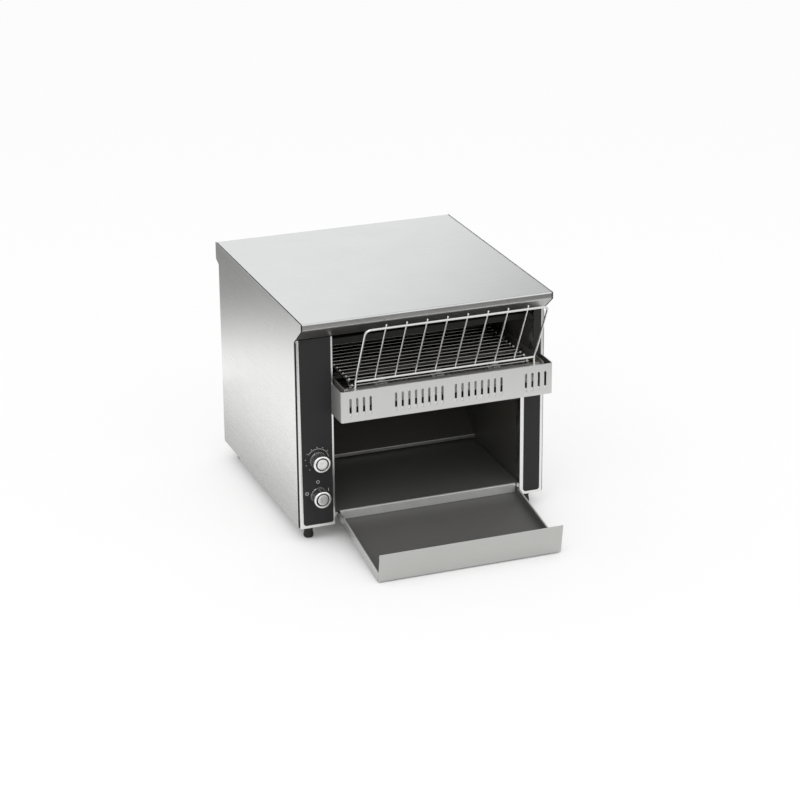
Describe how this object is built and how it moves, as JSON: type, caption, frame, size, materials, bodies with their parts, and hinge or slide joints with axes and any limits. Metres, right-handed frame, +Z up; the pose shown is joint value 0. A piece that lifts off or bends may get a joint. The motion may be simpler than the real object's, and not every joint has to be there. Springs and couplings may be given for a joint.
{
  "type": "conveyor toaster",
  "caption": "Countertop conveyor toaster with a wire-link belt, leaning wire bread rack, slotted guard, landing tray, pull-out toast tray and two knobs.",
  "frame": {"origin": "on the counter, under the middle of the bounding box with the toast tray pulled out", "axes": "+X to the right seen from the front, +Y into the depth (the front faces -Y), +Z up"},
  "size_m": [0.368, 0.533, 0.3354],
  "materials": {
    "shell_steel": "brushed stainless sheet, long straight grain",
    "top_steel": "brushed stainless sheet, grain from side to side",
    "guard_steel": "satin stainless sheet with punched slots",
    "tray_steel": "brushed stainless sheet, dull from use",
    "base_steel": "plain mill finish",
    "dark_sheet": "heat darkened sheet",
    "reflector": "bright aluminised sheet",
    "overlay": "satin charcoal overlay",
    "belt_wire": "heat darkened round wire",
    "rack_wire": "bright round wire",
    "heater_tube": "oxidised heater sheath",
    "ceramic": "unglazed ceramic",
    "black_rubber": "moulded black rubber",
    "black_plastic": "moulded black plastic",
    "knob_plastic": "moulded knob with a fluted skirt",
    "knob_cap": "turned silver cap",
    "machined_steel": "turned and ground steel",
    "bronze": "sintered bronze",
    "motor_paint": "plated and painted housing",
    "circuit_board": "green circuit board",
    "screw_steel": "plated screws"
  },
  "bodies": {
    "chassis": {"base_pan": "base_steel", "left_side_panel": "shell_steel", "right_side_panel": "shell_steel", "top_cover": "top_steel", "back_panel": "shell_steel", "control_frame": "shell_steel", "control_overlay": "overlay", "right_front_frame": "shell_steel", "right_overlay": "overlay", "left_chamber_wall": "dark_sheet", "right_chamber_wall": "dark_sheet", "upper_reflector": "reflector", "upper_heater_tubes": "heater_tube", "upper_heater_bushes": "ceramic", "lower_reflector": "reflector", "lower_heater_tubes": "heater_tube", "lower_heater_bushes": "ceramic", "toast_chute": "dark_sheet", "landing_tray": "dark_sheet", "slotted_guard": "guard_steel", "guard_flanges": "guard_steel", "left_conveyor_rail": "dark_sheet", "right_conveyor_rail": "dark_sheet", "rail_ties": "machined_steel", "belt_carriers": "machined_steel", "idler_bushings": "bronze", "drive_bushings": "bronze", "belt_upper_run": "belt_wire", "belt_rear_wrap": "belt_wire", "belt_lower_run": "belt_wire", "belt_front_wrap": "belt_wire", "gear_motor": "motor_paint", "gearbox": "motor_paint", "motor_bracket": "base_steel", "drive_chain": "machined_steel", "fan_frame": "black_plastic", "speed_potentiometer": "bronze", "heat_switch": "black_plastic", "speed_board": "circuit_board", "terminal_block": "ceramic", "high_limit_thermostat": "ceramic", "feet": "black_rubber", "foot_studs": "screw_steel", "rear_screws": "screw_steel", "cable_gland": "black_plastic"},
    "toast_tray": {"toast_tray": "tray_steel"},
    "bread_rack": {"bread_rack": "rack_wire"},
    "speed_knob": {"speed_knob": "knob_plastic", "speed_knob_cap": "knob_cap", "speed_control_shaft": "bronze"},
    "heat_knob": {"heat_knob": "knob_plastic", "heat_knob_cap": "knob_cap", "heat_control_shaft": "bronze"},
    "drive_shaft": {"drive_shaft": "machined_steel", "drive_sprockets": "machined_steel", "shaft_sprocket": "machined_steel"},
    "idler_shaft": {"idler_shaft": "machined_steel", "idler_spools": "machined_steel"},
    "motor_sprocket": {"motor_sprocket": "machined_steel"},
    "fan_rotor": {"fan_rotor": "black_plastic"}
  },
  "joints": [
    {"name": "toast_tray_slide", "type": "slide", "parent": "chassis", "child": "toast_tray", "axis": [0, 1, 0], "range_m": [0, 0.15]},
    {"name": "bread_rack_lift", "type": "slide", "parent": "chassis", "child": "bread_rack", "axis": [0, 0, 1], "range_m": [0, 0.08]},
    {"name": "speed_knob_turn", "type": "hinge", "parent": "chassis", "child": "speed_knob", "pos_m": [-0.1555, -0.10961, 0.1235], "axis": [0, 1, 0], "range_deg": [-135, 135]},
    {"name": "heat_knob_turn", "type": "hinge", "parent": "chassis", "child": "heat_knob", "pos_m": [-0.1555, -0.10961, 0.0707], "axis": [0, 1, 0], "range_deg": [-90, 90]},
    {"name": "drive_shaft_turn", "type": "hinge", "parent": "chassis", "child": "drive_shaft", "pos_m": [0.019, 0.13289, 0.21967], "axis": [-1, 0, 0], "continuous": true},
    {"name": "idler_shaft_turn", "type": "hinge", "parent": "chassis", "child": "idler_shaft", "pos_m": [0.019, -0.10461, 0.21967], "axis": [-1, 0, 0], "continuous": true},
    {"name": "motor_sprocket_turn", "type": "hinge", "parent": "chassis", "child": "motor_sprocket", "pos_m": [-0.142, 0.10522, 0.12191], "axis": [-1, 0, 0], "continuous": true},
    {"name": "fan_rotor_turn", "type": "hinge", "parent": "chassis", "child": "fan_rotor", "pos_m": [-0.09, 0.23839, 0.079], "axis": [0, 1, 0], "continuous": true}
  ],
  "couplings": [
    {"joint": "idler_shaft_turn", "follows": "drive_shaft_turn", "ratio": 1},
    {"joint": "motor_sprocket_turn", "follows": "drive_shaft_turn", "ratio": 1}
  ]
}
